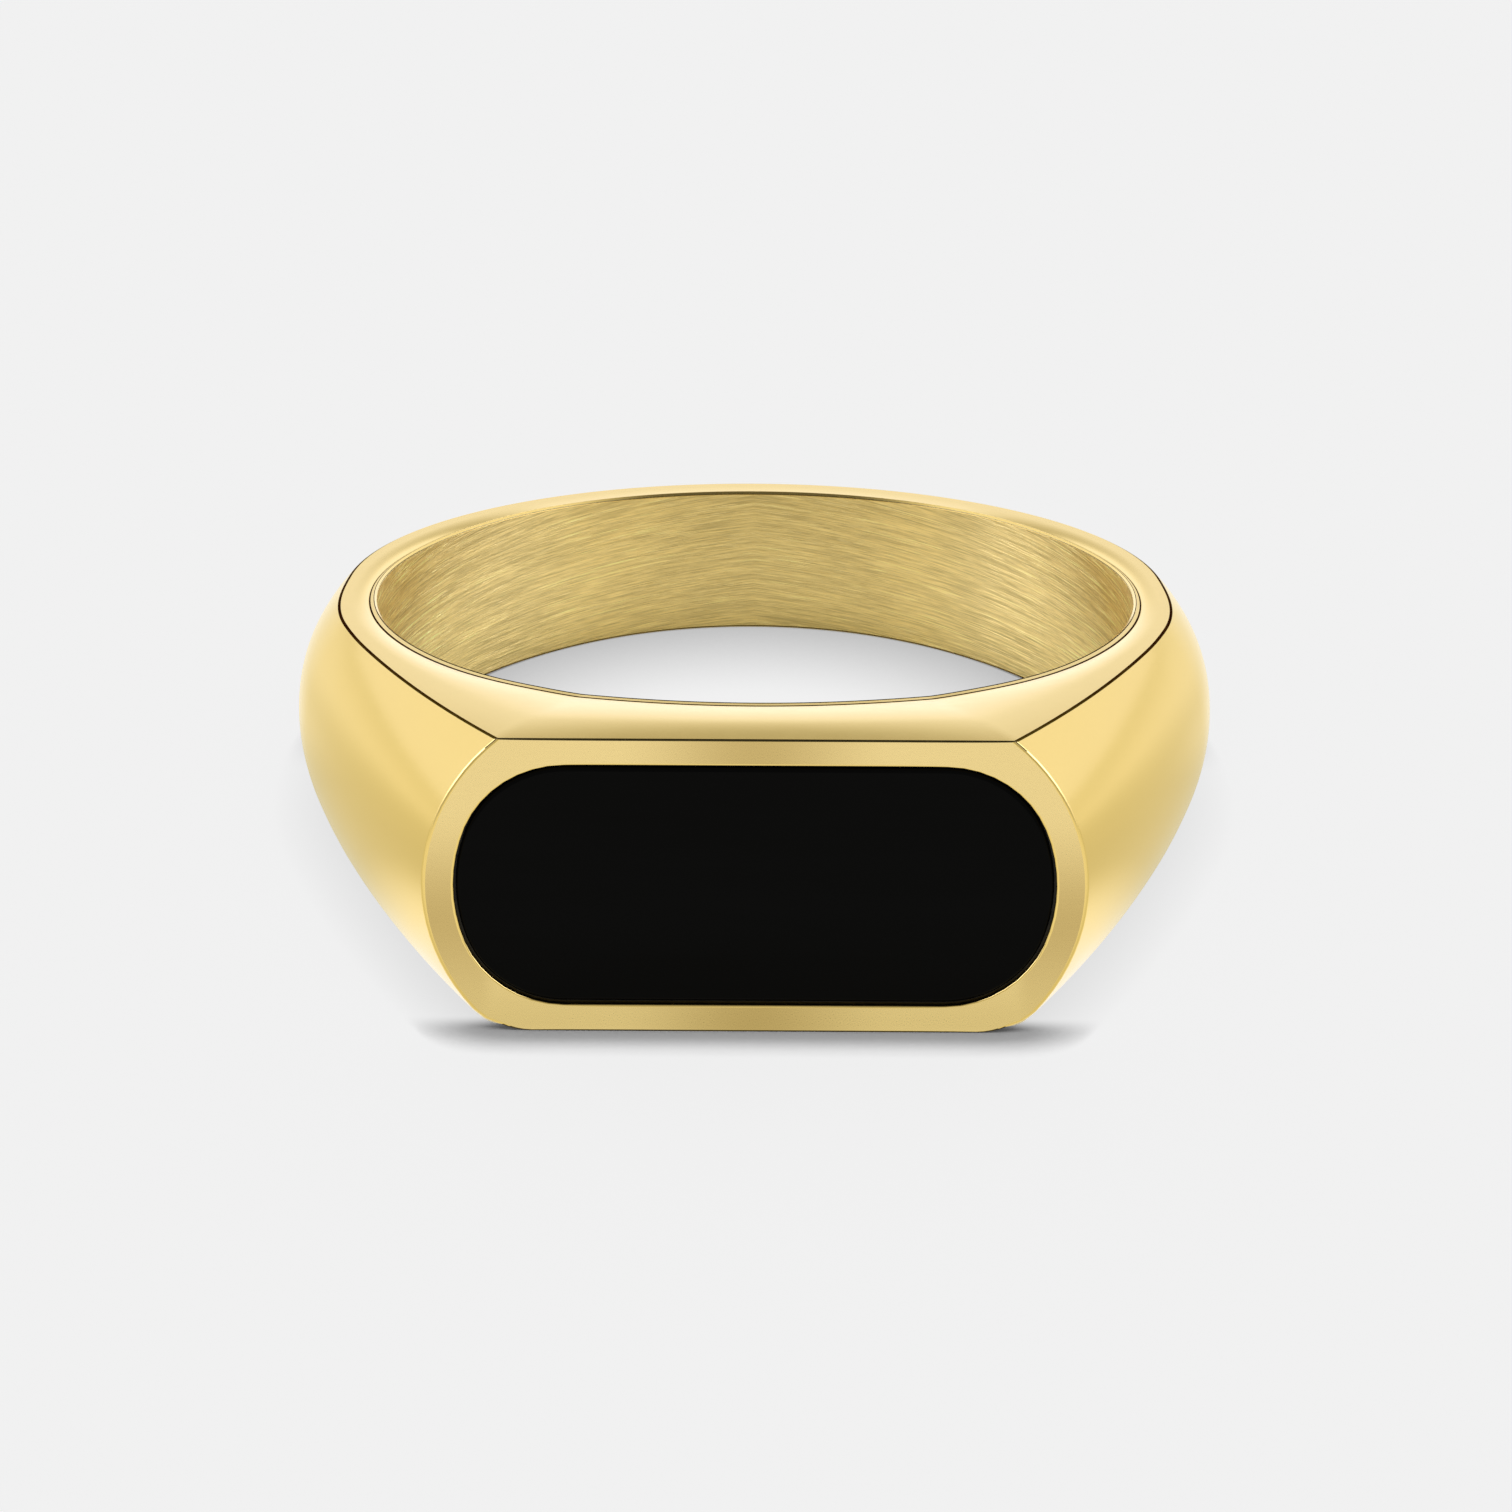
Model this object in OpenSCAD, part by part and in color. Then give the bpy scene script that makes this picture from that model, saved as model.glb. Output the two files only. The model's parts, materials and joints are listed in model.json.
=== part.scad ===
// Signet ring: a one-piece cast body with a flat oblong face, an inlaid stone
// tablet, and the resin bed that holds the tablet in its recess.
// The finger bore runs along Z, the signet face looks along -Y, and the origin
// is the centre of the bore.

/* [Finger bore] */
// Inside diameter of the band
bore_d = 19; // [17:0.1:21]
// Width of the broken edge around the bore's two rims
rim_break = 0.2; // [0.1:0.05:0.4]

/* [Band] */
// Thickness of the band at its sides, on the middle plane
band_t = 1.94; // [1.7:0.02:2.3]
// How far the outside circle sits towards the face from the bore's centre
band_shift = 0.62; // [0.3:0.02:0.8]
// Radius of each shoulder between the band and the face, seen along the bore
shoulder_r = 52; // [40:1:70]
// Crown radius across the band at its back
crown_back = 3.8; // [3.5:0.05:4.2]
// Crown radius across the shoulders and the head
crown_head = 5.25; // [4.9:0.05:5.8]

/* [Signet face] */
// Distance from the bore wall to the face
head_t = 3.14; // [2.8:0.02:3.5]
// Length of the face along X
face_l = 16.28; // [16:0.02:17]
// Width of the face along Z
face_w = 7.7; // [7.4:0.05:8]
// Slope of each side face: how much it closes in for each millimetre of Y
side_slope = 0.09; // [0.06:0.002:0.1]

/* [Stone tablet] */
// Length of the tablet
tablet_l = 14.64; // [14:0.02:14.8]
// Width of the tablet
tablet_w = 6.2; // [5.8:0.02:6.3]
// Thickness of the tablet
tablet_t = 1.14; // [0.9:0.02:1.3]
// Radius of the tablet's rounded ends
tablet_end_r = 4.1; // [3.8:0.05:4.4]
// Radius that blends each end into the long sides
tablet_corner_r = 2.6; // [2:0.05:2.8]
// How far the tablet's top lies below the face
tablet_sunk = 0.06; // [0.02:0.02:0.1]

/* [Resin bed] */
// Thickness of the resin under the tablet
resin_t = 0.1; // [0.06:0.02:0.2]
// Gap around the tablet's edge that the resin fills
resin_gap = 0.05; // [0.04:0.01:0.1]
// How far the resin stops below the tablet's top
resin_sunk = 0.2; // [0.1:0.05:0.4]

/* [Hidden] */

bore_r = bore_d / 2;
band_r = bore_r + band_t;
face_y = -(bore_r + head_t);
mid_half_w = face_w / 2 + side_slope * face_y; // half width of the band at the bore's centre
side_tilt = atan(side_slope);
recess_depth = tablet_sunk + tablet_t + resin_t;
past = 1; // how far a cutting solid runs past what it cuts
far = 40; // larger than the ring in every direction

// Outline of the band in the XY plane. Angles are measured at the centre from
// the face direction, so 0 is towards the face and 180 is the back.
centre = [0, -band_shift];
corner = [face_l / 2, face_y] - centre;
corner_dist = norm(corner);
r_gap = shoulder_r - band_r;
corner_dot = (pow(shoulder_r, 2) - pow(r_gap, 2) - pow(corner_dist, 2)) / (2 * r_gap);
tangent_a = atan2(corner[0], -corner[1]) + acos(corner_dot / corner_dist);
shoulder_centre = centre - r_gap * out_dir(tangent_a);
corner_a = atan2(face_l / 2 - shoulder_centre[0], shoulder_centre[1] - face_y);
past_face_a = 6; // the shoulder runs on past the face by this angle and is then cut there
start_a = corner_a - past_face_a;

shoulder_steps = 22;
band_steps = 34;
crown_steps = 14;
crown_half_a = 58; // half the arc that is drawn across the crown
crown_turn_y = 2; // where the crown starts to flatten
crown_turn_l = 7; // and how far towards the face the change goes on

function out_dir(a) = [sin(a), -cos(a)];
function mix(a, b, t) = a + (b - a) * t;
// The crown is rounder on the band and flatter on the shoulders, with a smooth change between
function crown_r(y) =
    let (t = min(max((crown_turn_y - y) / crown_turn_l, 0), 1))
    mix(crown_back, crown_head, t * t * (3 - 2 * t));

// One station of the right-hand outline: [point on the middle plane, outward direction]
function shoulder_station(a) = [shoulder_centre + shoulder_r * out_dir(a), out_dir(a)];
function band_station(a) = [centre + band_r * out_dir(a), out_dir(a)];
right_side = [
    for (i = [0 : shoulder_steps - 1]) shoulder_station(mix(start_a, tangent_a, i / shoulder_steps)),
    for (i = [0 : band_steps]) band_station(mix(tangent_a, 180, i / band_steps))
];
function mirrored(s) = [[-s[0][0], s[0][1]], [-s[1][0], s[1][1]]];
stations = [
    each right_side,
    for (i = [len(right_side) - 2 : -1 : 0]) mirrored(right_side[i])
];

// Points across the crown at one station, from the lower edge to the upper one
function crown_points(s) =
    let (r = crown_r(s[0][1]))
    [for (j = [0 : crown_steps])
        let (a = mix(-crown_half_a, crown_half_a, j / crown_steps), p = s[0] - s[1] * r * (1 - cos(a)))
        [p[0], p[1], r * sin(a)]];

// Solid disc whose edge is the crowned outside of the ring
module crowned_disc() {
    n = len(stations);
    row = crown_steps + 1;
    top_hub = [0, 0, crown_r(0) * sin(crown_half_a)];
    points = [for (s = stations) each crown_points(s), top_hub, -top_hub];
    skin = [for (i = [0 : n - 1], j = [0 : crown_steps - 1])
        let (a = i * row + j, b = ((i + 1) % n) * row + j)
        each [[a, a + 1, b + 1], [a, b + 1, b]]];
    caps = [for (i = [0 : n - 1])
        let (a = i * row, b = ((i + 1) % n) * row)
        each [[a + crown_steps, n * row, b + crown_steps], [a, b, n * row + 1]]];
    polyhedron(points, concat(skin, caps));
}

// Everything between the two sloping side faces and behind the signet face
module side_slab() {
    function half_w(y) = mid_half_w - side_slope * y;
    back_y = far / 2;
    rotate([90, 0, 90])
        linear_extrude(height = far, center = true)
            polygon([
                [face_y, -half_w(face_y)], [back_y, -half_w(back_y)],
                [back_y, half_w(back_y)], [face_y, half_w(face_y)]
            ]);
}

// Cutter that breaks the bore's upper rim, square to the sloping side face
module rim_cutter() {
    inner_r = bore_r - past;
    translate([0, 0, mid_half_w])
        rotate([-side_tilt, 0, 0])
            rotate_extrude($fn = 128)
                polygon([
                    [inner_r, -rim_break - past], [bore_r + rim_break + past, past], [inner_r, past]
                ]);
}

// Oblong with rounded ends, standing on the recess's floor plane at depth and
// rising along -Y, grown all round by grow
module oblong(grow, depth, height) {
    end_r = tablet_end_r + grow;
    corner_r = tablet_corner_r + grow;
    end_x = tablet_l / 2 - tablet_end_r;
    corner_z = tablet_w / 2 - tablet_corner_r;
    corner_reach = tablet_end_r - tablet_corner_r;
    corner_x = end_x + sqrt(pow(corner_reach, 2) - pow(corner_z, 2));
    blend_z = corner_z * end_r / corner_reach; // where the end arc meets the corner arc
    translate([0, face_y + depth, 0])
        rotate([90, 0, 0]) {
            linear_extrude(height = height)
                square([2 * corner_x, tablet_w + 2 * grow], center = true);
            for (side = [-1, 1]) {
                intersection() {
                    translate([side * end_x, 0, 0])
                        cylinder(h = height, r = end_r, $fn = 96);
                    translate([-far / 2, -blend_z, -past])
                        cube([far, 2 * blend_z, height + 2 * past]);
                }
                for (edge = [-1, 1])
                    translate([side * corner_x, edge * corner_z, 0])
                        cylinder(h = height, r = corner_r, $fn = 48);
            }
        }
}

module ring_body() {
    color([0.87, 0.74, 0.43])
        difference() {
            intersection() {
                crowned_disc();
                side_slab();
            }
            cylinder(h = far, r = bore_r, center = true, $fn = 192);
            rim_cutter();
            mirror([0, 0, 1]) rim_cutter();
            oblong(resin_gap, recess_depth, recess_depth + past);
        }
}

module onyx_tablet() {
    color([0.03, 0.03, 0.035])
        oblong(0, tablet_sunk + tablet_t, tablet_t);
}

module resin_bed() {
    color([0.25, 0.24, 0.22])
        difference() {
            oblong(resin_gap, recess_depth, recess_depth - tablet_sunk - resin_sunk);
            oblong(0, tablet_sunk + tablet_t, tablet_t + past);
        }
}

ring_body();
onyx_tablet();
resin_bed();
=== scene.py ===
"""Signet ring: polished gold body with a brushed bore, satin face frame and a black stone tablet.

Shapes are worked out in millimetres in the CAD model's own frame (bore along Z, signet face
towards -Y) and turned into metres when each mesh is made.
"""
import json
import math

import bmesh
import bpy
import numpy as np
from mathutils import Matrix, Vector


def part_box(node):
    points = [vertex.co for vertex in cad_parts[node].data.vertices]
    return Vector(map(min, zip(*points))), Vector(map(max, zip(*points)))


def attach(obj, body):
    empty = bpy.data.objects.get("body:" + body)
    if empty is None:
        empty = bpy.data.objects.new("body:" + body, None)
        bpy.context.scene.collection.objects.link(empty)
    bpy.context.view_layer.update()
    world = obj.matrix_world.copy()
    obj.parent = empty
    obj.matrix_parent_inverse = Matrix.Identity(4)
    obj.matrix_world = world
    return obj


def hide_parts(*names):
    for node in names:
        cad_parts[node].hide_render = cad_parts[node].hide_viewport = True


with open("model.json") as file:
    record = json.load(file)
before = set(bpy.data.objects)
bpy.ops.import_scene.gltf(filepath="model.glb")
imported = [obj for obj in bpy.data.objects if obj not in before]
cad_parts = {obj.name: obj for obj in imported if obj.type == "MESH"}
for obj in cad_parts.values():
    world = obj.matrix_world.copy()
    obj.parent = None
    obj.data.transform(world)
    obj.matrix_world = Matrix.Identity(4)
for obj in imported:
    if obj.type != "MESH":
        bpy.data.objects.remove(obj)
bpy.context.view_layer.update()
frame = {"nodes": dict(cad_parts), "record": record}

MM = 0.001

# ---------------------------------------------------------------- sizes from the frame, in mm


def box_mm(node):
    low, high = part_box(node)
    return np.array(low) / MM, np.array(high) / MM


def mount(name):
    return next(m for m in frame["record"]["mounts"] if m["name"] == name)


body_low, body_high = box_mm("ring_body")
tablet_low, tablet_high = box_mm("onyx_tablet")
resin_low, resin_high = box_mm("resin_bed")

BORE_R = mount("finger_bore")["dims"]["r_mm"]
FACE_Y = body_low[1]
FACE_HALF_W = body_high[2]
BAND_R = body_high[0]
BAND_SHIFT = BAND_R - body_high[1]
_, side_ny, side_nz = mount("lower_side")["axis"]
SIDE_SLOPE = -side_ny / side_nz
RECESS_Y = resin_high[1]
RECESS_GAP = tablet_low[0] - resin_low[0]

# ---------------------------------------------------------------- sizes the frame doesn't state

FACE_HALF_L = 8.14  # on the middle plane, where the face is longest
SHOULDER_R = 52.0  # seen along the bore
CROWN_BACK = 3.8  # crown radius across the band at its back
CROWN_HEAD = 5.25  # and across the shoulders and the head
CROWN_TURN_Y = 2.0  # where the crown starts to flatten
CROWN_TURN_L = 7.0  # and how far towards the face the change goes on
TABLET_END_R = 4.1
TABLET_CORNER_R = 2.6

CREASE_ROUND = 0.045  # crisp edges between the faces
END_ROUND = 0.075  # edges at the two ends of the signet face
RECESS_EDGE_ROUND = 0.06  # the recess's edge on the signet face
LOW_CORNER_R = 2.0  # the face's two lower corners are rounded
LOW_CORNER_TURN = math.radians(46)  # angle that the face's outline turns there
RIM_WIDTH = (0.3, 0.085)  # lip and rounding at the bore's rims, on the head and on the back
RIM_ROUND = (0.05, 0.07)  # the rounding alone
LIP_SLOPE = 0.03  # fall of the lip towards the bore, per millimetre
LIP_ROWS = (0, 0.3, 0.93, 1)  # the first strip carries the painted dark line of shade at the lip's outer edge
SIDE_ROLL_SHARE = 0.62  # share of each side face, next to the bore, that rolls down
SIDE_ROLL_SLOPE = (0.12, -0.03)  # on the head and on the back
SIDE_ROLL_BESIDE = 0.3  # and beside the bore
BESIDE_X = (5.0, 9.0)  # where the roll beside the bore sets in
HEAD_TO_BACK_Y = (-6.0, 5.0)  # where both change from one to the other
PILLOW_SHARE = 0.48  # share of the head's side face, next to the signet face, that swells
PILLOW_SLOPE = 0.16
PILLOW_X = (0.0, 11.0)  # where along the face the swelling fades out
STONE_ROUND = 0.14  # rounding of the tablet's top edge

NEAR_RECESS = 0.1  # what lies this close to the tablet's box belongs to the recess
CREASE_ANGLE = math.radians(20)  # sharper edges of the body are rounded
STONE_CREASE_ANGLE = math.radians(40)  # sharper edges of the tablet stay hard
ON_PLANE = 1e-3  # what lies this close to a plane is taken to be on it

BAND_COLUMNS = 150  # from a face corner to the middle of the back
FACE_COLUMNS = 64
FACE_ROWS = 5  # from the face's outline in to the recess
RECESS_ROWS = 3
STONE_COLUMNS = (80, 60)  # along each straight side and round each end
STONE_ROUND_STEPS = 6
BEVEL_STEPS = 4
CROWN_ROWS = 24
SIDE_ROWS = 20
EDGE_MARGIN = 0.12  # no row of points this close to a rounded edge
RIM_STEPS = (0, 0.25, 0.5, 0.75, 0.92, 1)  # the last strip carries the painted dark line of shade
BORE_ROWS = 6


# ---------------------------------------------------------------- outline of the ring, from above


def lerp(a, b, t):
    return a + (b - a) * t


def smooth(value, low, high):
    t = np.clip((value - low) / (high - low), 0, 1)
    return t * t * (3 - 2 * t)


def out_dir(a):
    return np.stack([np.sin(a), -np.cos(a)], -1)


centre = np.array([0.0, -BAND_SHIFT])
corner = np.array([FACE_HALF_L, FACE_Y]) - centre
r_gap = SHOULDER_R - BAND_R
corner_dot = (SHOULDER_R**2 - r_gap**2 - corner @ corner) / (2 * r_gap)
tangent_a = math.atan2(corner[0], -corner[1]) + math.acos(corner_dot / np.linalg.norm(corner))
shoulder_centre = centre - r_gap * out_dir(tangent_a)
corner_a = math.atan2(FACE_HALF_L - shoulder_centre[0], shoulder_centre[1] - FACE_Y)
shoulder_length = SHOULDER_R * (tangent_a - corner_a)
side_length = shoulder_length + BAND_R * (math.pi - tangent_a)


def outline(s):
    """Point and outward direction at distance s from the right-hand face corner."""
    s = np.asarray(s, float)
    on_shoulder = s < shoulder_length
    a = np.where(on_shoulder, corner_a + s / SHOULDER_R, tangent_a + (s - shoulder_length) / BAND_R)
    n = out_dir(a)
    p = np.where(on_shoulder[..., None], shoulder_centre + SHOULDER_R * n, centre + BAND_R * n)
    return p, n


def crown_r(y):
    return lerp(CROWN_HEAD, CROWN_BACK, smooth(y, CROWN_TURN_Y - CROWN_TURN_L, CROWN_TURN_Y))


def side_z(y):
    """Height of the upper side face."""
    return FACE_HALF_W - SIDE_SLOPE * (y - FACE_Y)


def crown_point(s, share):
    """Point of the crowned outside at share -1..1 of the way from its lower edge to its upper one."""
    p, n = outline(s)
    r = crown_r(p[..., 1])
    edge_a = np.arcsin(side_z(p[..., 1]) / r)
    for _ in range(12):
        edge_y = p[..., 1] - n[..., 1] * r * (1 - np.cos(edge_a))
        edge_a = np.arcsin(side_z(edge_y) / r)
    a = share * edge_a
    sunk = r * (1 - np.cos(a))
    xy = p - n * sunk[..., None]
    return np.stack([xy[..., 0], xy[..., 1], r * np.sin(a)], -1)


def face_start(share):
    """Distance s at which the crown's line for share leaves the signet face."""
    low, high = np.full_like(share, -6.0), np.full_like(share, 6.0)
    for _ in range(50):
        mid = (low + high) / 2
        behind = crown_point(mid, share)[..., 1] > FACE_Y
        low, high = np.where(behind, low, mid), np.where(behind, mid, high)
    return (low + high) / 2


# ---------------------------------------------------------------- mesh helpers


class Patchwork:
    """Quads from grids of points, welded where the grids share their edges."""

    def __init__(self):
        self.points, self.faces, self.kinds = [], [], []

    def grid(self, points, kind, closed=False):
        rows, columns = points.shape[:2]
        start = len(self.points)
        self.points.extend(points.reshape(-1, 3))
        for i in range(rows - 1):
            for j in range(columns if closed else columns - 1):
                k = (j + 1) % columns
                quad = [i * columns + j, i * columns + k, (i + 1) * columns + k, (i + 1) * columns + j]
                self.faces.append([start + v for v in quad])
                self.kinds.append(kind)

    def cap(self, loop, kind, flip=False):
        start = len(self.points)
        self.points.extend(loop)
        face = list(range(start, start + len(loop)))
        self.faces.append(face[::-1] if flip else face)
        self.kinds.append(kind)

    def build(self, name, materials, weld=1e-4):
        bm = bmesh.new()
        verts = [bm.verts.new(p) for p in self.points]
        for face, kind in zip(self.faces, self.kinds):
            f = bm.faces.new([verts[v] for v in face])
            f.material_index = kind
            f.smooth = True
        bmesh.ops.remove_doubles(bm, verts=bm.verts, dist=weld)
        bmesh.ops.recalc_face_normals(bm, faces=bm.faces)
        mesh = bpy.data.meshes.new(name)
        for m in materials:
            mesh.materials.append(m)
        return bm, mesh


def finish_mesh(obj):
    """Applies the modifiers and turns millimetres into metres."""
    graph = bpy.context.evaluated_depsgraph_get()
    mesh = bpy.data.meshes.new_from_object(obj.evaluated_get(graph))
    obj.modifiers.clear()
    mesh.transform(Matrix.Scale(MM, 4))
    obj.data = mesh


# ---------------------------------------------------------------- ring body


def crown_grid():
    """Rows from the lower edge to the upper one, columns from the right face end round to the left one."""
    share = np.linspace(-1, 1, CROWN_ROWS + 1)[:, None]
    start = face_start(share)
    s = lerp(start, side_length, np.linspace(0, 1, BAND_COLUMNS + 1)[None, :])
    right = crown_point(s, share + 0 * s)
    right[:, -1, 0] = 0
    right[:, 0, 1] = FACE_Y
    left = right[:, -2::-1] * (-1, 1, 1)
    return np.concatenate([right, left], 1)


def side_grids(edge_loop):
    """Upper side face, rim rounding and upper half of the bore, from the outer edge inwards."""
    radius = np.linalg.norm(edge_loop[:, :2], axis=1)
    direction = edge_loop[:, :2] / radius[:, None]
    towards_back = smooth(direction[:, 1] * BORE_R, *HEAD_TO_BACK_Y)
    rim_width = lerp(*RIM_WIDTH, towards_back)
    rim_round = lerp(*RIM_ROUND, towards_back)
    roll_slope = lerp(*SIDE_ROLL_SLOPE, towards_back)
    roll_slope = lerp(roll_slope, SIDE_ROLL_BESIDE, smooth(abs(direction[:, 0]) * BORE_R, *BESIDE_X))
    side_width = radius - BORE_R - rim_width
    roll = SIDE_ROLL_SHARE * side_width

    swell = PILLOW_SHARE * side_width
    swell_slope = PILLOW_SLOPE * (1 - smooth(abs(edge_loop[:, 0]), *PILLOW_X)) * (edge_loop[:, 1] < 0)

    def side_point(inward):
        xy = direction * (radius - inward)[:, None]
        past_flat = np.maximum(inward - (side_width - roll), 0)
        on_swell = np.minimum(inward, swell)
        z = side_z(xy[:, 1]) - roll_slope * past_flat**2 / (2 * roll)
        z += swell_slope * (on_swell - on_swell**2 / (2 * swell))
        return np.concatenate([xy, z[:, None]], 1)

    past_edge = [lerp(EDGE_MARGIN, side_width, q) for q in np.linspace(0, 1, SIDE_ROWS)]
    side = np.stack([side_point(0 * side_width)] + [side_point(q) for q in past_edge])

    def lip_point(inward):
        xy = direction * (BORE_R + rim_width - inward)[:, None]
        return np.concatenate([xy, (side[-1][:, 2] - LIP_SLOPE * inward)[:, None]], 1)

    lip_width = rim_width - rim_round
    lip = np.stack([lip_point(lip_width * q) for q in LIP_ROWS])
    wall = lip_point(rim_width)
    below = wall - np.outer(rim_round, (0, 0, 1))
    t = np.array(RIM_STEPS)[:, None, None]
    rim = (1 - t) ** 2 * lip[-1] + 2 * t * (1 - t) * wall + t**2 * below
    middle = below * (1, 1, 0)
    bore = lerp(below[None], middle[None], np.linspace(0, 1, BORE_ROWS + 1)[:, None, None])
    return side, lip, rim, bore


def oblong_loop(grow, straight_steps, end_steps):
    """Closed outline of the tablet in X and Z, grown by grow: top edge, right end, bottom edge, left end."""
    half_l = tablet_high[0]
    half_w = tablet_high[2]
    end_x = half_l - TABLET_END_R
    corner_z = half_w - TABLET_CORNER_R
    reach = TABLET_END_R - TABLET_CORNER_R
    corner_x = end_x + math.sqrt(reach**2 - corner_z**2)
    blend_a = math.atan2(corner_z, corner_x - end_x)
    corner_arc = TABLET_CORNER_R + grow
    end_arc = TABLET_END_R + grow
    corner_len = corner_arc * (math.pi / 2 - blend_a)
    end_len = end_arc * 2 * blend_a
    total = 2 * corner_len + end_len
    end = []
    for d in np.linspace(0, total, end_steps + 1):
        if d < corner_len:
            a = math.pi / 2 - d / corner_arc
            end.append((corner_x + corner_arc * math.cos(a), corner_z + corner_arc * math.sin(a)))
        elif d < corner_len + end_len:
            a = blend_a - (d - corner_len) / end_arc
            end.append((end_x + end_arc * math.cos(a), end_arc * math.sin(a)))
        else:
            a = -blend_a - (d - corner_len - end_len) / corner_arc
            end.append((corner_x + corner_arc * math.cos(a), -corner_z + corner_arc * math.sin(a)))
    end = np.array(end)
    x = np.linspace(-corner_x, corner_x, straight_steps + 1)[:-1]
    top = np.stack([x, np.full_like(x, half_w + grow)], 1)
    bottom = -top
    return np.concatenate([top, end[:-1], bottom, -end[:-1]])


def at_y(loop, y):
    return np.stack([loop[:, 0], np.full(len(loop), y), loop[:, 1]], 1)


POLISHED, SATIN, BRUSHED, EDGE = range(4)


def ring_body(materials):
    crown = crown_grid()
    upper_edge = crown[-1]
    x = np.linspace(-upper_edge[0, 0], upper_edge[0, 0], FACE_COLUMNS + 1)[1:-1]
    top_edge = np.stack([x, np.full_like(x, FACE_Y), np.full_like(x, FACE_HALF_W)], 1)
    upper_loop = np.concatenate([upper_edge, top_edge])
    side, lip, rim, bore = side_grids(upper_loop)

    patches = Patchwork()
    patches.grid(crown, POLISHED)
    for up in (1, -1):
        mirror = (1, 1, up)
        patches.grid(side * mirror, POLISHED, closed=True)
        patches.grid(lip[:2] * mirror, EDGE, closed=True)
        patches.grid(lip[1:] * mirror, POLISHED, closed=True)
        patches.grid(rim[:-1] * mirror, POLISHED, closed=True)
        patches.grid(rim[-2:] * mirror, EDGE, closed=True)
        patches.grid(bore * mirror, BRUSHED, closed=True)

    # signet face: rows from its outline in to the recess
    right_end = crown[::-1, 0]
    bottom_edge = top_edge[::-1] * (1, 1, -1)
    left_end = crown[:, -1]
    outer = np.concatenate([left_end[-1:], top_edge, right_end, bottom_edge, left_end[:-1]])
    inner = at_y(oblong_loop(RECESS_GAP, FACE_COLUMNS, CROWN_ROWS), FACE_Y)
    face = lerp(outer[None], inner[None], np.linspace(0, 1, FACE_ROWS + 1)[:, None, None])
    patches.grid(face, SATIN, closed=True)
    floor = inner + (0, RECESS_Y - FACE_Y, 0)
    walls = lerp(inner[None], floor[None], np.linspace(0, 1, RECESS_ROWS + 1)[:, None, None])
    patches.grid(walls, POLISHED, closed=True)
    patches.cap(floor, POLISHED)

    bm, mesh = patches.build("ring_body", materials)
    weigh_edges(bm)
    round_low_corners(bm, upper_edge[0, 0])
    bm.to_mesh(mesh)
    bm.free()
    obj = bpy.data.objects.new("gold_ring_body", mesh)
    bpy.context.scene.collection.objects.link(obj)
    bevel = obj.modifiers.new("edges", "BEVEL")
    bevel.limit_method = "WEIGHT"
    bevel.width = END_ROUND
    bevel.segments = BEVEL_STEPS
    bevel.use_clamp_overlap = False
    bevel.harden_normals = True
    # the bevels take the dark edge material, with its painted line of shade
    bevel.material = EDGE
    finish_mesh(obj)
    brighten_ends(obj.data)
    return obj


def in_recess(edge):
    return all(
        abs(v.co.x) < tablet_high[0] + NEAR_RECESS and abs(v.co.z) < tablet_high[2] + NEAR_RECESS
        and v.co.y < RECESS_Y + ON_PLANE for v in edge.verts)


def edge_round(edge):
    """How far a sharp edge of the body is rounded, 0 inside the recess."""
    on_face = all(v.co.y < FACE_Y + ON_PLANE for v in edge.verts)
    if in_recess(edge):
        return RECESS_EDGE_ROUND if on_face else 0
    at_end = on_face and any(abs(v.co.z) < FACE_HALF_W - ON_PLANE for v in edge.verts)
    return END_ROUND if at_end else CREASE_ROUND


def weigh_edges(bm):
    """Sets each sharp edge's share of the bevel modifier's width."""
    weight = bm.edges.layers.float.new("bevel_weight_edge")
    for edge in bm.edges:
        if len(edge.link_faces) == 2 and edge.calc_face_angle(0) > CREASE_ANGLE:
            edge[weight] = edge_round(edge) / END_ROUND


def round_low_corners(bm, corner_x):
    """Moves the skin near the face's two lower corners on to a small radius."""
    half_turn = LOW_CORNER_TURN / 2
    reach = LOW_CORNER_R * math.tan(half_turn)
    for v in bm.verts:
        side = math.copysign(1, v.co.x)
        apex = Vector((side * corner_x, FACE_Y, -FACE_HALF_W))
        left = max(reach - (v.co - apex).length, 0)
        inward = Vector((-side * math.sin(half_turn), 0, math.cos(half_turn)))
        v.co += inward * left**2 / (2 * LOW_CORNER_R * math.cos(half_turn))


def brighten_ends(mesh):
    """Gives the rounded edges of the face's ends and of the recess the polish of what is beside them, in
    place of the painted dark line.
    """
    reach = 2 * END_ROUND
    for face in mesh.polygons:
        _, y, z = face.center / MM
        on_face = y < FACE_Y + reach and abs(z) < FACE_HALF_W - reach
        if on_face and face.material_index == EDGE:
            face.material_index = POLISHED


# ---------------------------------------------------------------- stone tablet


def stone_tablet(material):
    top, bottom = tablet_low[1], tablet_high[1]
    loops = []
    for a in np.linspace(0, math.pi / 2, STONE_ROUND_STEPS + 1):
        inset = STONE_ROUND * (1 - math.sin(a))
        sunk = STONE_ROUND * (1 - math.cos(a))
        loops.append(at_y(oblong_loop(-inset, *STONE_COLUMNS), top + sunk))
    loops.append(at_y(oblong_loop(0, *STONE_COLUMNS), (top + bottom) / 2))
    loops.append(at_y(oblong_loop(0, *STONE_COLUMNS), bottom))
    patches = Patchwork()
    patches.grid(np.stack(loops), 0, closed=True)
    patches.cap(loops[0], 0)
    patches.cap(loops[-1], 0, flip=True)
    bm, mesh = patches.build("stone_tablet", [material])
    for e in bm.edges:
        e.smooth = e.calc_face_angle(0) < STONE_CREASE_ANGLE
    bm.to_mesh(mesh)
    bm.free()
    obj = bpy.data.objects.new("stone_tablet", mesh)
    bpy.context.scene.collection.objects.link(obj)
    finish_mesh(obj)
    return obj


# ---------------------------------------------------------------- node trees


def is_socket(value):
    return isinstance(value, bpy.types.NodeSocket)


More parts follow.
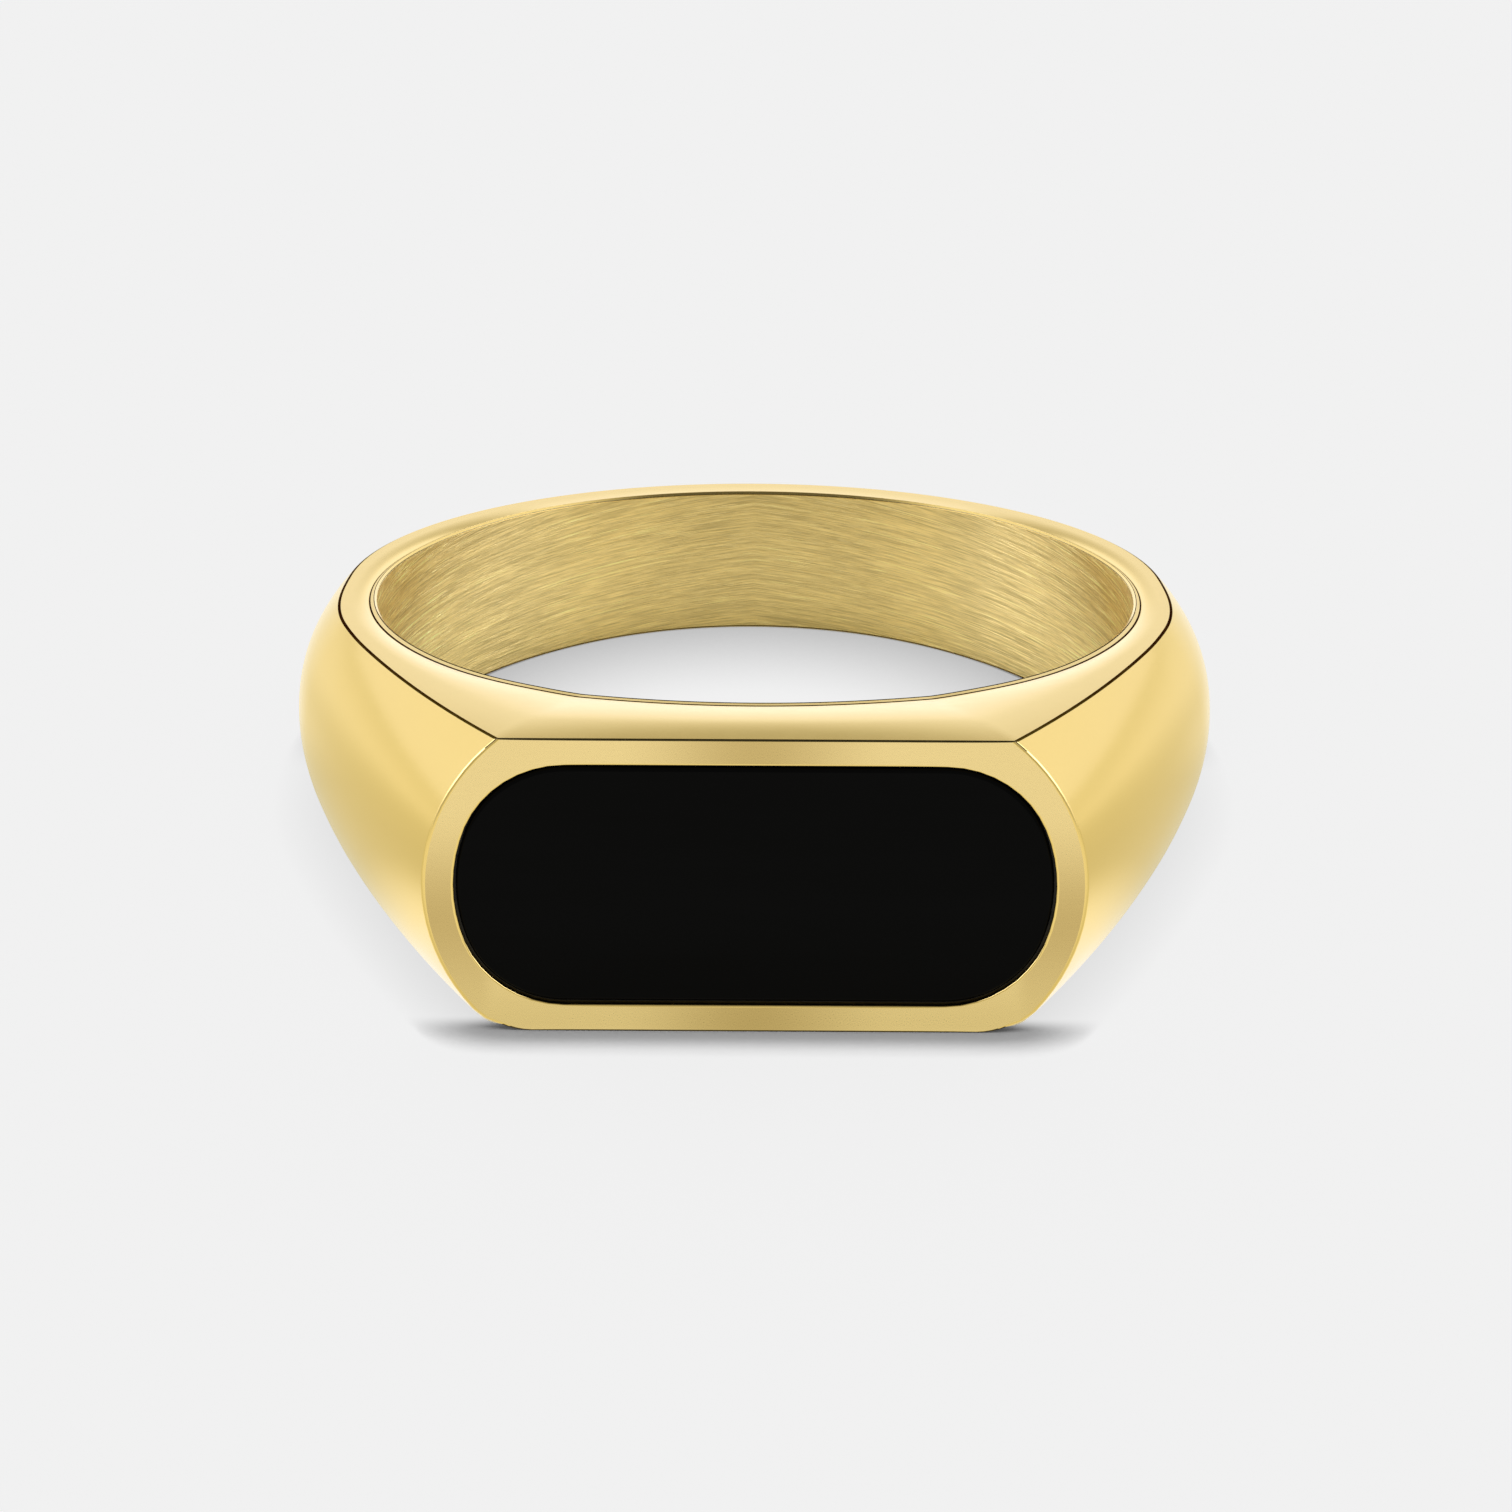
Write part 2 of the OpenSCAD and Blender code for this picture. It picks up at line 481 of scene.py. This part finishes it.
class Graph:
    """Short calls for building a node tree. A value is a number, a tuple or another node's output."""

    def __init__(self, owner):
        owner.use_nodes = True
        self.nodes, self.links = owner.node_tree.nodes, owner.node_tree.links

    def put(self, socket, value):
        if is_socket(value):
            self.links.new(value, socket)
        else:
            socket.default_value = value

    def node(self, kind, values, **settings):
        node = self.nodes.new("ShaderNode" + kind)
        for name, value in settings.items():
            setattr(node, name, value)
        for name, value in values.items():
            self.put(node.inputs[name], value)
        return node

    def math(self, operation, *values):
        return self.node("Math", dict(enumerate(values)), operation=operation).outputs[0]

    def vector(self, operation, a, b):
        return self.node("VectorMath", {0: a, 1: b}, operation=operation).outputs[0]

    def dot(self, a, b):
        return self.node("VectorMath", {0: a, 1: b}, operation="DOT_PRODUCT").outputs["Value"]

    def step(self, value, low, high, to_low=0.0, to_high=1.0):
        """Smooth step of value between low and high, from to_low to to_high."""
        values = {"Value": value, "From Min": low, "From Max": high, "To Min": to_low, "To Max": to_high}
        return self.node("MapRange", values, interpolation_type="SMOOTHSTEP").outputs["Result"]

    def mix(self, t, a, b):
        """A number between a and b."""
        return self.node("Mix", {"Factor": t, "A": a, "B": b}, data_type="FLOAT").outputs["Result"]

    def blend(self, t, a, b):
        """A colour between a and b."""
        node = self.nodes.new("ShaderNodeMix")
        node.data_type = "RGBA"
        for socket, value in zip((node.inputs[0], node.inputs[6], node.inputs[7]), (t, a, b)):
            self.put(socket, value)
        return node.outputs[2]

    def noise(self, place, scale, detail=2.0, roughness=0.5):
        values = {"Vector": place, "Scale": scale, "Detail": detail, "Roughness": roughness}
        return self.node("TexNoise", values).outputs[0]

    def bump(self, height, depth_mm):
        values = {"Height": height, "Distance": depth_mm * MM, "Strength": 1.0}
        return self.node("Bump", values).outputs["Normal"]

    def place_mm(self, *stretch):
        """Place on the ring in millimetres, each axis stretched by its number."""
        coord = self.node("TexCoord", {}).outputs["Object"]
        return self.vector("MULTIPLY", coord, tuple(v / MM for v in stretch or (1, 1, 1)))

    def axes(self, place):
        return self.node("SeparateXYZ", {0: place}).outputs


# ---------------------------------------------------------------- materials

GOLD = (0.985, 0.738, 0.272)
GRAZING_TINT = (1, 0.985, 0.93, 1)  # tint of the polished gold at grazing angles
SATIN_REFLECTION_DARK = (0.68, 0.507, 0.216)  # painted reflection: darker at the middle of each side of the frame
SATIN_END = (0.97, 0.765, 0.376)  # and towards its corners
SATIN_HALF_L, SATIN_HALF_W = 3.6, 3.0  # distances from middle to full tone, along the sides and the ends
SATIN_SHIFT = 0.9  # the painted reflection at the ends is darkest this far below their middle
SATIN_END_X = (5.4, 6.8)  # where the long sides give way to the ends
BRUSHED_TINT = (0.885, 0.70, 0.31)
BRUSHED_DARK, BRUSHED_LIGHT = 0.64, 1.12
STROKE_STRETCH = (0.5, 0.5, 19)  # long round the bore, narrow along it
FINE_STRETCH = (1.2, 1.2, 45)
SCRATCH_STRETCH = (0.4, 0.4, 24)
SCRATCH_START = (0.63, 0.68)  # noise level at which a stroke becomes a bright scratch
SCRATCH_TONE = 0.2
STROKE_SLANT = 0.12
BORE_SIDE_HIGHLIGHT = (6.5, 9.2, 1, 1.18)  # painted highlight: the bore's colour lightens towards its left and right sides
EDGE_TINT = (0.93, 0.72, 0.3)
EDGE_DEPTH = (0.06, 0.14)  # tone of the painted dark line of shade
EDGE_LINE_FADED = 0.95  # and of the edge where the painted line has faded out
EDGE_FADE_Y = (2.0, 6.0)  # where the painted dark line along the upper and lower edges fades out


def shade(colour, k):
    return (*(k * c for c in colour), 1)


def surface(name, colour, metallic=0.0, specular=0.5):
    """A new material, its node graph and its shader."""
    m = bpy.data.materials.new(name)
    g = Graph(m)
    shader = g.nodes["Principled BSDF"]
    shader.inputs["Base Color"].default_value = shade(colour, 1)
    shader.inputs["Metallic"].default_value = metallic
    shader.inputs["Specular IOR Level"].default_value = specular
    return m, g, shader.inputs


def polished_gold():
    """Mirror polish: faint clouds of finer and coarser polish, and hairline marks that only bump shows."""
    m, g, shader = surface("polished_gold", GOLD, metallic=1)
    place = g.place_mm()
    clouds = g.noise(place, 0.35, 3)
    hairlines = g.noise(g.place_mm(0.7, 0.7, 6.0), 3.0, 4, 0.7)
    g.put(shader["Base Color"], g.blend(clouds, shade(GOLD, 0.97), shade(GOLD, 1.0)))
    shader["Specular Tint"].default_value = GRAZING_TINT
    g.put(shader["Roughness"], g.step(hairlines, 0.2, 0.8, 0.13, 0.18))
    g.put(shader["Normal"], g.bump(hairlines, 0.0008))
    return m


def satin_gold():
    """Fine satin on the frame round the stone, with a painted reflection that darkens the middle of each of
    its sides.
    """
    m, g, shader = surface("satin_gold", GOLD, metallic=1)
    x, _, z = g.axes(g.place_mm())
    x, z = g.math("ABSOLUTE", x), g.math("ABSOLUTE", g.math("ADD", z, SATIN_SHIFT))
    on_end = g.step(x, *SATIN_END_X)
    off_middle = g.mix(on_end, g.math("DIVIDE", x, SATIN_HALF_L), g.math("DIVIDE", z, SATIN_HALF_W))
    grain = g.noise(g.place_mm(), 22, 3, 0.7)
    lines = g.noise(g.place_mm(0.6, 1, 9), 2.2, 3, 0.6)
    # painted reflection: the colour darkens towards the middle of each side of the frame
    tone = g.blend(g.step(off_middle, 0.0, 1.0), shade(SATIN_REFLECTION_DARK, 1), shade(SATIN_END, 1))
    g.put(shader["Base Color"], g.vector("MULTIPLY", tone, tone_vector(g, g.mix(lines, 0.97, 1.02))))
    g.put(shader["Roughness"], g.step(grain, 0.25, 0.75, 0.22, 0.3))
    g.put(shader["Normal"], g.bump(g.math("ADD", grain, lines), 0.0006))
    return m


def tone_vector(g, tone):
    return g.node("CombineXYZ", {0: tone, 1: tone, 2: tone}).outputs[0]


def brushed_gold():
    """Hand-brushed bore: long strokes round it, some aslant, with a few deeper scratches, and a painted
    highlight towards its left and right sides.
    """
    m, g, shader = surface("brushed_gold", GOLD, metallic=1)
    x, y, z = g.axes(g.place_mm())
    slant = g.math("ADD", z, g.math("MULTIPLY", g.math("ABSOLUTE", x), STROKE_SLANT))
    place = g.node("CombineXYZ", {0: x, 1: y, 2: slant}).outputs[0]
    strokes = g.noise(g.vector("MULTIPLY", place, STROKE_STRETCH), 1.0, 3, 0.75)
    fine = g.noise(g.vector("MULTIPLY", place, FINE_STRETCH), 1.0, 2, 0.75)
    scratches = g.step(g.noise(g.vector("MULTIPLY", place, SCRATCH_STRETCH), 1.3, 0), *SCRATCH_START)
    patches = g.noise(place, 0.3, 1)
    grain = g.step(g.math("ADD", strokes, fine), 0.7, 1.3)
    tone = g.math("MULTIPLY", g.mix(grain, BRUSHED_DARK, BRUSHED_LIGHT), g.mix(patches, 0.88, 1.08))
    tone = g.math("ADD", tone, g.math("MULTIPLY", scratches, SCRATCH_TONE))
    # painted highlight: lighter towards the left and right sides of the bore
    tone = g.math("MULTIPLY", tone, g.step(g.math("ABSOLUTE", x), *BORE_SIDE_HIGHLIGHT))
    g.put(shader["Base Color"], g.vector("MULTIPLY", tone_vector(g, tone), BRUSHED_TINT))
    g.put(shader["Roughness"], g.step(strokes, 0.3, 0.7, 0.28, 0.4))
    shader["Anisotropic"].default_value = 0.8
    shader["Anisotropic Rotation"].default_value = 0.25  # the strokes run along the tangent
    g.put(shader["Tangent"], g.node("Tangent", {}, direction_type="RADIAL", axis="Z").outputs[0])
    height = g.math("ADD", g.math("ADD", strokes, fine), g.math("MULTIPLY", scratches, -0.6))
    g.put(shader["Normal"], g.bump(height, 0.008))
    return m


def dark_edge():
    """Crisp polished edges, painted with a fine dark line of shade that fades out towards the back of the
    band.
    """
    m, g, shader = surface("dark_edge", GOLD, metallic=1)
    y = g.axes(g.place_mm())["Y"]
    # noise that varies the depth of the painted shade, and the roughness and bump
    edge_mottle = g.noise(g.place_mm(), 1.4, 3)
    # painted shade: dark colour and darkened reflection tint near the face, fading out towards the back
    depth = g.mix(edge_mottle, *EDGE_DEPTH)
    tone = g.step(y, *EDGE_FADE_Y, depth, EDGE_LINE_FADED)
    g.put(shader["Base Color"], g.vector("MULTIPLY", tone_vector(g, tone), EDGE_TINT))
    g.put(shader["Specular Tint"], g.blend(g.step(y, *EDGE_FADE_Y), shade(EDGE_TINT, 0.3), (1, 1, 1, 1)))
    g.put(shader["Roughness"], g.mix(edge_mottle, 0.2, 0.35))
    g.put(shader["Normal"], g.bump(edge_mottle, 0.002))
    return m


def black_stone():
    """Polished onyx: nearly black all through, with the faintest banding and polishing haze."""
    m, g, shader = surface("black_stone", (0.003, 0.003, 0.0032), specular=0.04)
    bands = g.noise(g.place_mm(0.15, 0.4, 1.2), 1.0, 4)
    haze = g.noise(g.place_mm(), 0.9, 4, 0.6)
    g.put(shader["Base Color"], g.blend(bands, shade((1, 1, 1.05), 0.0022), shade((1, 1, 1.1), 0.0038)))
    g.put(shader["Roughness"], g.step(haze, 0.3, 0.8, 0.03, 0.09))
    g.put(shader["Normal"], g.bump(haze, 0.0006))
    return m


def cured_resin():
    """Dark epoxy in the gap and under the stone, with small bubbles."""
    m, g, shader = surface("cured_resin", (0.02, 0.018, 0.015), specular=0.3)
    bubbles = g.node("TexVoronoi", {"Vector": g.place_mm(), "Scale": 6.0}).outputs["Distance"]
    clouds = g.noise(g.place_mm(), 2.0, 3)
    g.put(shader["Base Color"], g.blend(clouds, shade((1, 0.9, 0.75), 0.012), shade((1, 0.9, 0.75), 0.03)))
    g.put(shader["Roughness"], g.step(clouds, 0.3, 0.7, 0.35, 0.55))
    g.put(shader["Normal"], g.bump(bubbles, 0.01))
    return m


# ---------------------------------------------------------------- studio

VIEW_ELEVATION = math.radians(21.8)  # of the camera above the ring's middle plane
VIEW_DISTANCE = 400
VIEW_ROLL = math.radians(0.4)
VIEW_DROP = 1.51  # how far below the bore's centre the camera aims
VIEW_TURN = math.radians(-0.22)  # round the bore's axis
VIEW_SHIFT = 0.05  # of the camera to the right
FOCAL_MM = 378.6
SENSOR_MM = 36
CLIP_M = (0.01, 10)
FLOOR_R = 300
FLOOR_COLOUR, FLOOR_ROUGHNESS = (0.87, 0.87, 0.875), 0.9
FLOOR_SIDES = 96

BACKDROP = 0.88  # what the camera sees beyond the floor
FILL = 0.08  # even light that reaches matt surfaces
OVERHEAD = 0.14  # strength of the soft light above
OVERHEAD_ANGLE = math.radians(60)
OVERHEAD_LEAN = (0.08, -0.5)  # to the right and towards the camera, per unit of height
FLOOR_GLOW = 0.775  # share of the floor's brightness that comes through it, as on a light table

# Contact shade, set by place on the floor: millimetres ahead of the line of contact, or from the bore's axis.
CONTACT_MM = 1.4  # its reach round the outside of the ring
CONTACT_INSIDE_MM = 4.0  # and inside the bore
CONTACT_DEPTH, CONTACT_DEPTH_INSIDE, CONTACT_DEPTH_BESIDE = 2.5, 0.88, 0.17
CONTACT_BESIDE_START, CONTACT_BESIDE_END = (-0.4, 0.8), (14, 18)
CONTACT_SAMPLES = 4
RING_EDGE = 0.7  # width of the change from inside the bore to outside it
INNER_SHADE_MM, INNER_SHADE = 2.5, 0.45  # dark ring that the metal sees just inside the bore

# What polished metal sees of the studio: brightness by direction and by place on the floor.
WRAP_FRONT, WRAP_BACK, WRAP_AHEAD = 0.97, 0.47, 1.16
WRAP_TURN = (-0.5, -0.1)  # cosine of the azimuth between the front and the back
AHEAD_TURN = (0.85, 0.98)
CEILING = 0.12
CEILING_START = (0.8, 0.95)  # sine of the elevation
HEADER = 0.48  # dark strip straight ahead, above the horizon
HEADER_START = (-0.06, 0.38)
HEADER_TURN = (0.99, 0.9995)
SIDE_BOX = 2.8  # soft boxes to the left and right, above the ring
SIDE_BOX_TURN = (-0.5, -0.15, 0.3, 0.6)
SIDE_BOX_START = (0.08, 0.3)
WARM = (1.03, 1.0, 0.86)  # tint of the dimmer parts
COOL = (0.97, 1.0, 1.15)  # and of the brightest ones
WARM_RANGE, COOL_RANGE = (0.4, 0.95), (1.0, 1.14)

# Brightness of the floor as the metal sees it: (from, to, level at from, level at to).
FLOOR_FRONT = (-9, -0.5, 0.86, 0.68)
FLOOR_NEAR_X = (11, 18, 1, 0)  # near is close to the middle, far is out to the sides
FLOOR_BESIDE_NEAR, FLOOR_BESIDE_FAR = (3, 8.5, 1.06, 0.7), 0.68
FLOOR_BEHIND_NEAR, FLOOR_BEHIND_FAR = (12.5, 18.5, 0.7, 1.02), (12, 27, 0.7, 0.92)
FLOOR_ASIDE = (0.25, 0.45)  # x over y
FLOOR_FAR = (35, 60, 0, 0.24)  # added, by y
FLOOR_DIMMER = (20, 70, 0, 0.1)  # taken off, by x
FLOOR_FRONT_TO_BESIDE, FLOOR_BESIDE_TO_BEHIND = (-0.5, 1.5), (10, 12)
FLOOR_TINT_RANGE = (0.6, 1.05)
FLOOR_DIM_TINT, FLOOR_BRIGHT_TINT = (1.04, 1, 0.76, 1), (1.01, 1, 0.92, 1)

floor_up = Vector((0, -SIDE_SLOPE, 1)).normalized()
floor_ahead = Vector((0, 1, SIDE_SLOPE)).normalized()


def floor_matrix():
    """Frame of the surface the ring lies on: the plane of its lower side face."""
    turn = Matrix((Vector((1, 0, 0)), floor_ahead, floor_up)).transposed().to_4x4()
    return Matrix.Translation(Vector((0, FACE_Y, -FACE_HALF_W)) * MM) @ turn


def floor_place(g):
    """Distance beside the middle, distance ahead of the line of contact, and radius from the bore's axis."""
    place = g.place_mm()
    x = g.math("ABSOLUTE", g.axes(place)["X"])
    contact = Vector((0, FACE_Y, -FACE_HALF_W)).dot(floor_ahead)
    y = g.math("SUBTRACT", g.dot(place, tuple(floor_ahead)), contact)
    middle = Vector((0, 0, -float(side_z(0)))).dot(floor_ahead) - contact
    across = g.math("SUBTRACT", y, middle)
    radius = g.math("SQRT", g.math("ADD", g.math("MULTIPLY", x, x), g.math("MULTIPLY", across, across)))
    return x, y, radius


def floor_reflection(g, x, y, radius):
    """The floor as polished metal sees it: dimmer beside the ring, brighter at its far end."""
    near = g.step(x, *FLOOR_NEAR_X)
    beside = g.mix(near, FLOOR_BESIDE_FAR, g.step(y, *FLOOR_BESIDE_NEAR))
    behind = g.mix(near, g.step(y, *FLOOR_BEHIND_FAR), g.step(y, *FLOOR_BEHIND_NEAR))
    seen = g.mix(g.step(y, *FLOOR_FRONT_TO_BESIDE), g.step(y, *FLOOR_FRONT), beside)
    seen = g.mix(g.step(y, *FLOOR_BESIDE_TO_BEHIND), seen, behind)
    aside = g.step(g.math("DIVIDE", x, g.math("MAXIMUM", y, 1)), *FLOOR_ASIDE)
    dimmer = g.math("MULTIPLY", g.step(x, *FLOOR_DIMMER), aside)
    far = g.mix(aside, g.step(y, *FLOOR_FAR), 0)
    seen = g.math("ADD", g.math("SUBTRACT", seen, dimmer), far)
    rise = g.step(radius, BORE_R - INNER_SHADE_MM, BORE_R)
    inner_contact = g.math("MULTIPLY", rise, g.step(radius, BORE_R, BORE_R + RING_EDGE, 1, 0))
    seen = g.math("MULTIPLY", seen, g.mix(inner_contact, 1, INNER_SHADE))
    tint = g.blend(g.step(seen, *FLOOR_TINT_RANGE), FLOOR_DIM_TINT, FLOOR_BRIGHT_TINT)
    tint = g.blend(g.step(seen, *COOL_RANGE), tint, shade(COOL, 1))
    return g.node("Emission", {"Color": tint, "Strength": seen}).outputs[0]


def floor_glow(g, y, radius):
    """The floor's own light, shaded where the ring touches it and less so beside the ring."""
    outside = g.step(radius, BORE_R, BORE_R + RING_EDGE)
    beside_ring = g.math("MULTIPLY", outside, g.step(y, *CONTACT_BESIDE_START))
    beside_ring = g.math("MULTIPLY", beside_ring, g.step(y, *CONTACT_BESIDE_END, 1, 0))
    reach = g.mix(outside, CONTACT_INSIDE_MM * MM, CONTACT_MM * MM)
    depth = g.mix(beside_ring, g.mix(outside, CONTACT_DEPTH_INSIDE, CONTACT_DEPTH), CONTACT_DEPTH_BESIDE)
    open_sky = g.node("AmbientOcclusion", {"Distance": reach}, samples=CONTACT_SAMPLES).outputs["AO"]
    shaded = g.math("SUBTRACT", 1, g.math("MULTIPLY", depth, g.math("SUBTRACT", 1, open_sky)))
    return g.math("MULTIPLY", g.math("MAXIMUM", shaded, 0), FLOOR_GLOW)


def pale_floor():
    m, g, shader = surface("pale_floor", FLOOR_COLOUR, specular=0)
    shader["Roughness"].default_value = FLOOR_ROUGHNESS
    x, y, radius = floor_place(g)
    shader["Emission Color"].default_value = (1, 1, 1, 1)
    g.put(shader["Emission Strength"], floor_glow(g, y, radius))
    glossy = g.node("LightPath", {}).outputs["Is Glossy Ray"]
    matt = g.nodes["Principled BSDF"].outputs[0]
    reflected = floor_reflection(g, x, y, radius)
    mixed = g.node("MixShader", {0: glossy, 1: matt, 2: reflected}).outputs[0]
    g.put(g.nodes["Material Output"].inputs["Surface"], mixed)
    return m


def make_floor():
    """Plain pale disc in the plane that the ring lies on."""
    bm = bmesh.new()
    bmesh.ops.create_circle(bm, cap_ends=True, segments=FLOOR_SIDES, radius=FLOOR_R * MM)
    mesh = bpy.data.meshes.new("floor")
    bm.to_mesh(mesh)
    bm.free()
    mesh.materials.append(pale_floor())
    mesh.transform(floor_matrix())
    obj = bpy.data.objects.new("floor", mesh)
    bpy.context.scene.collection.objects.link(obj)


def make_camera():
    data = bpy.data.cameras.new("camera")
    data.sensor_width = SENSOR_MM
    data.lens = FOCAL_MM
    data.clip_start, data.clip_end = CLIP_M
    turned = Matrix.Rotation(VIEW_TURN, 3, "Z")
    towards = turned @ Vector((0, -math.cos(VIEW_ELEVATION), math.sin(VIEW_ELEVATION)))
    up = turned @ Vector((0, math.sin(VIEW_ELEVATION), math.cos(VIEW_ELEVATION)))
    cam = bpy.data.objects.new("camera", data)
    turn = towards.to_track_quat("Z", "Y").to_matrix() @ Matrix.Rotation(VIEW_ROLL, 3, "Z")
    place = (towards * VIEW_DISTANCE - up * VIEW_DROP + Vector((VIEW_SHIFT, 0, 0))) * MM
    cam.matrix_world = Matrix.Translation(place) @ turn.to_4x4()
    bpy.context.scene.collection.objects.link(cam)
    bpy.context.scene.camera = cam


def make_world():
    """A pale wrap round the ring with a dark ceiling and a dimmer side behind the camera."""
    world = bpy.data.worlds.new("studio")
    bpy.context.scene.world = world
    g = Graph(world)
    direction = g.node("TexCoord", {}).outputs["Generated"]
    height = g.dot(direction, tuple(floor_up))
    level = g.math("SQRT", g.math("SUBTRACT", 1.0, g.math("MULTIPLY", height, height)))
    ahead = g.math("DIVIDE", g.dot(direction, tuple(floor_ahead)), level)
    wrap = g.step(ahead, *WRAP_TURN, WRAP_BACK, WRAP_FRONT)
    wrap = g.mix(g.step(ahead, *AHEAD_TURN), wrap, WRAP_AHEAD)
    header = g.math("MULTIPLY", g.step(height, *HEADER_START), g.step(ahead, *HEADER_TURN))
    wrap = g.mix(header, wrap, HEADER)
    back, side_back, side_front, front = SIDE_BOX_TURN
    side = g.math("MULTIPLY", g.step(ahead, back, side_back), g.step(ahead, side_front, front, 1, 0))
    wrap = g.mix(g.math("MULTIPLY", side, g.step(height, *SIDE_BOX_START)), wrap, SIDE_BOX)
    seen = g.mix(g.step(height, *CEILING_START), wrap, CEILING)
    path = g.node("LightPath", {}).outputs
    light = g.mix(path["Is Glossy Ray"], FILL, seen)
    light = g.mix(path["Is Camera Ray"], light, BACKDROP)
    tint = g.blend(g.step(light, *WARM_RANGE), shade(WARM, 1), (1, 1, 1, 1))
    tint = g.blend(g.step(light, *COOL_RANGE), tint, shade(COOL, 1))
    background = g.nodes["Background"].inputs
    g.put(background["Color"], g.blend(path["Is Glossy Ray"], (1, 1, 1, 1), tint))
    g.put(background["Strength"], light)


def make_overhead():
    """Large soft light above the ring; the metal reflects the wrap and not this light."""
    data = bpy.data.lights.new("overhead", "SUN")
    data.energy = OVERHEAD
    data.angle = OVERHEAD_ANGLE
    obj = bpy.data.objects.new("overhead", data)
    lean = floor_up + Vector((1, 0, 0)) * OVERHEAD_LEAN[0] + floor_ahead * OVERHEAD_LEAN[1]
    obj.matrix_world = lean.to_track_quat("Z", "Y").to_matrix().to_4x4()
    obj.visible_glossy = False
    bpy.context.scene.collection.objects.link(obj)


# ---------------------------------------------------------------- assembly

body = ring_body([polished_gold(), satin_gold(), brushed_gold(), dark_edge()])
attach(body, "root")
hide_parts("ring_body")
body.visible_diffuse = False  # keeps its gold tint out of the floor's grey shadow

stone = stone_tablet(black_stone())
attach(stone, "root")
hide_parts("onyx_tablet")

resin = frame["nodes"]["resin_bed"]
resin.data.materials.clear()
resin.data.materials.append(cured_resin())

make_floor()
make_world()
make_overhead()
make_camera()
bpy.context.scene.view_settings.view_transform = "Standard"
